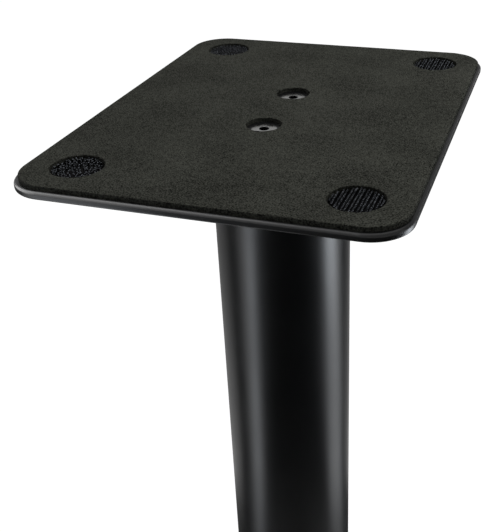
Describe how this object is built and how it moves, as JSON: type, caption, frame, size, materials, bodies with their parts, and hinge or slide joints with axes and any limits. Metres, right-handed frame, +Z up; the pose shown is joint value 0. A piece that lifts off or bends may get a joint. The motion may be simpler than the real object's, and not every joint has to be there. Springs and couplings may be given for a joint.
{
  "type": "speaker stand",
  "caption": "Floor stand for a loudspeaker: foam-padded top plate with hook-tape patches, thick round steel column, and a heavier base plate on screw-adjusted levelling feet.",
  "frame": {"origin": "on the floor, below the middle of the stand, with the feet screwed right in", "axes": "+X to the right, +Y from front to back along the long side of the plates, +Z up"},
  "size_m": [0.3, 0.38, 0.711],
  "materials": {
    "powder_coat": "satin black powder coat with a fine orange peel",
    "foam": "dark warm grey closed-cell foam with a fine matt grain",
    "hook_tape": "black nylon hook tape, slightly shiny hooks in rows",
    "zinc_plate": "bright zinc plating",
    "plain_steel": "uncoated rolled steel",
    "foot_plastic": "moulded black nylon",
    "sole_rubber": "matt black rubber"
  },
  "bodies": {
    "stand": {"base_plate": "powder_coat", "base_screws": "zinc_plate", "bottom_bulkhead": "plain_steel", "bottom_weld_nuts": "plain_steel", "column_tube": "powder_coat", "foot_lock_nuts": "zinc_plate", "hook_disc_front_left": "hook_tape", "hook_disc_front_right": "hook_tape", "hook_disc_rear_left": "hook_tape", "hook_disc_rear_right": "hook_tape", "top_bridge": "plain_steel", "top_pad": "foam", "top_plate": "powder_coat", "top_screw_front": "zinc_plate", "top_screw_rear": "zinc_plate", "top_weld_nuts": "plain_steel"},
    "foot_front_left": {"foot_pad_front_left": "foot_plastic", "foot_sole_front_left": "sole_rubber"},
    "stud_front_left": {"foot_stud_front_left": "zinc_plate"},
    "foot_front_right": {"foot_pad_front_right": "foot_plastic", "foot_sole_front_right": "sole_rubber"},
    "stud_front_right": {"foot_stud_front_right": "zinc_plate"},
    "foot_rear_left": {"foot_pad_rear_left": "foot_plastic", "foot_sole_rear_left": "sole_rubber"},
    "stud_rear_left": {"foot_stud_rear_left": "zinc_plate"},
    "foot_rear_right": {"foot_pad_rear_right": "foot_plastic", "foot_sole_rear_right": "sole_rubber"},
    "stud_rear_right": {"foot_stud_rear_right": "zinc_plate"}
  },
  "joints": [
    {"name": "foot_front_left_height", "type": "slide", "parent": "stand", "child": "foot_front_left", "axis": [0, 0, -1], "range_m": [0, 0.008]},
    {"name": "stud_front_left_turn", "type": "hinge", "parent": "foot_front_left", "child": "stud_front_left", "pos_m": [-0.118, -0.158, 0.0145], "axis": [0, 0, -1], "range_deg": [0, 2304]},
    {"name": "foot_front_right_height", "type": "slide", "parent": "stand", "child": "foot_front_right", "axis": [0, 0, -1], "range_m": [0, 0.008]},
    {"name": "stud_front_right_turn", "type": "hinge", "parent": "foot_front_right", "child": "stud_front_right", "pos_m": [0.118, -0.158, 0.0145], "axis": [0, 0, -1], "range_deg": [0, 2304]},
    {"name": "foot_rear_left_height", "type": "slide", "parent": "stand", "child": "foot_rear_left", "axis": [0, 0, -1], "range_m": [0, 0.008]},
    {"name": "stud_rear_left_turn", "type": "hinge", "parent": "foot_rear_left", "child": "stud_rear_left", "pos_m": [-0.118, 0.158, 0.0145], "axis": [0, 0, -1], "range_deg": [0, 2304]},
    {"name": "foot_rear_right_height", "type": "slide", "parent": "stand", "child": "foot_rear_right", "axis": [0, 0, -1], "range_m": [0, 0.008]},
    {"name": "stud_rear_right_turn", "type": "hinge", "parent": "foot_rear_right", "child": "stud_rear_right", "pos_m": [0.118, 0.158, 0.0145], "axis": [0, 0, -1], "range_deg": [0, 2304]}
  ],
  "couplings": [
    {"joint": "stud_front_left_turn", "follows": "foot_front_left_height", "rad_per_m": 5026.5},
    {"joint": "stud_front_right_turn", "follows": "foot_front_right_height", "rad_per_m": 5026.5},
    {"joint": "stud_rear_left_turn", "follows": "foot_rear_left_height", "rad_per_m": 5026.5},
    {"joint": "stud_rear_right_turn", "follows": "foot_rear_right_height", "rad_per_m": 5026.5}
  ]
}
